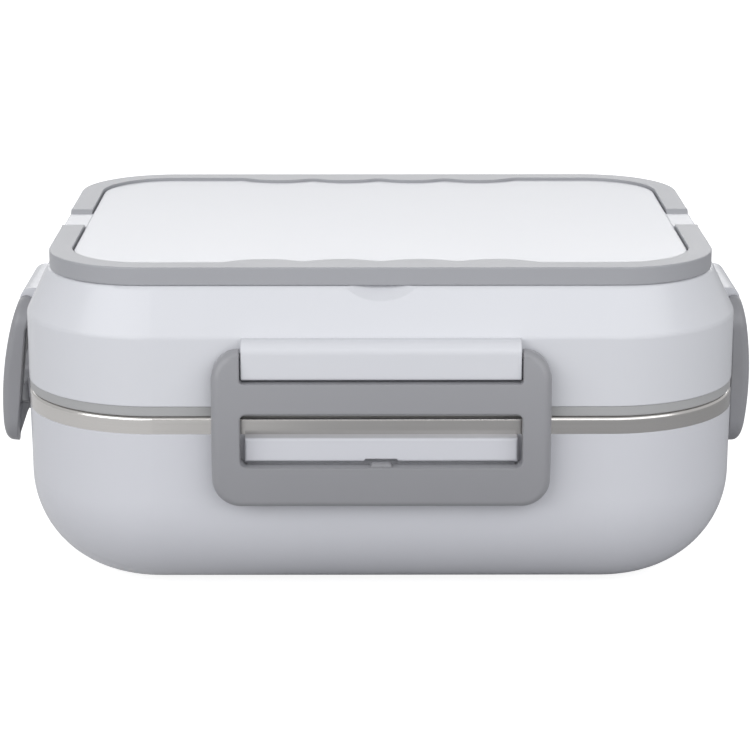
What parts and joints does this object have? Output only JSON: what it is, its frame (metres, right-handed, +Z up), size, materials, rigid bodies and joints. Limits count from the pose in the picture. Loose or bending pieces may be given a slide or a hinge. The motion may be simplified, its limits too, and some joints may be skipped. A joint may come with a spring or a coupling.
{
  "type": "electric lunch box",
  "caption": "Portable electric lunch box: heated base, steel food container, lift-off lid with snap latches and a folding ring handle.",
  "frame": {"origin": "on the table under the middle of the box's base", "axes": "+Z up, +X to the right along the box's length, -Y towards the viewer: the front has one of the two wide latches, and the rear has the power inlet"},
  "size_m": [0.2429, 0.1878, 0.1055],
  "materials": {
    "white_shell": "white plastic shell, satin gloss",
    "liner_plastic": "pale grey heat-proof plastic",
    "panel_plastic": "white plastic, smooth",
    "steel": "pressed stainless steel, brushed along the rim",
    "gasket_silicone": "pale grey silicone",
    "handle_grey": "grey plastic, satin",
    "latch_grey": "grey plastic, satin",
    "foot_rubber": "dark grey rubber",
    "screw_steel": "zinc-plated steel",
    "plate_aluminium": "machined aluminium",
    "heater_film": "amber insulating film",
    "strap_steel": "spring steel strip",
    "thermostat_black": "black moulded resin",
    "fuse_ceramic": "pale ceramic sleeve",
    "inlet_black": "black plastic",
    "pin_metal": "nickel-plated brass",
    "lamp_red": "red lens",
    "wire_silicone": "silicone-covered wire"
  },
  "bodies": {
    "base": {"base_shell": "white_shell", "well_liner": "liner_plastic", "rubber_feet": "foot_rubber", "base_screws": "screw_steel", "heating_plate": "plate_aluminium", "plate_screws": "screw_steel", "ptc_heaters": "heater_film", "heater_straps": "strap_steel", "strap_screws": "screw_steel", "thermostat": "thermostat_black", "thermostat_bracket": "strap_steel", "thermal_fuse": "fuse_ceramic", "fuse_clip": "strap_steel", "power_inlet": "inlet_black", "inlet_pins": "pin_metal", "indicator_lens": "lamp_red", "lead_wires": "wire_silicone"},
    "container": {"food_container": "steel"},
    "lid": {"lid_shell": "white_shell", "lid_inner_panel": "panel_plastic", "lid_gasket": "gasket_silicone"},
    "front_latch": {"latch_front": "latch_grey"},
    "right_latch": {"latch_right": "latch_grey"},
    "rear_latch": {"latch_rear": "latch_grey"},
    "left_latch": {"latch_left": "latch_grey"},
    "front_handle": {"handle_front": "handle_grey"},
    "rear_handle": {"handle_rear": "handle_grey"}
  },
  "joints": [
    {"name": "lid_lift", "type": "slide", "parent": "base", "child": "lid", "axis": [0, 0, 1], "range_m": [0, 0.12]},
    {"name": "container_lift", "type": "slide", "parent": "base", "child": "container", "axis": [0, 0, 1], "range_m": [0, 0.048]},
    {"name": "front_latch_hinge", "type": "hinge", "parent": "lid", "child": "front_latch", "pos_m": [0, -0.08895, 0.081], "axis": [-1, 0, 0], "range_deg": [0, 110]},
    {"name": "right_latch_hinge", "type": "hinge", "parent": "lid", "child": "right_latch", "pos_m": [0.11495, 0, 0.081], "axis": [0, -1, 0], "range_deg": [0, 110]},
    {"name": "rear_latch_hinge", "type": "hinge", "parent": "lid", "child": "rear_latch", "pos_m": [0, 0.08895, 0.081], "axis": [1, 0, 0], "range_deg": [0, 110]},
    {"name": "left_latch_hinge", "type": "hinge", "parent": "lid", "child": "left_latch", "pos_m": [-0.11495, 0, 0.081], "axis": [0, 1, 0], "range_deg": [-5.8, 104.2]},
    {"name": "front_handle_hinge", "type": "hinge", "parent": "lid", "child": "front_handle", "pos_m": [0, -0.01342, 0.10272], "axis": [-1, 0, 0], "range_deg": [0, 98]},
    {"name": "rear_handle_hinge", "type": "hinge", "parent": "lid", "child": "rear_handle", "pos_m": [0, 0.01342, 0.10272], "axis": [1, 0, 0], "range_deg": [0, 98]}
  ],
  "couplings": [
    {"joint": "container_lift", "follows": "lid_lift", "ratio": 0.4}
  ]
}
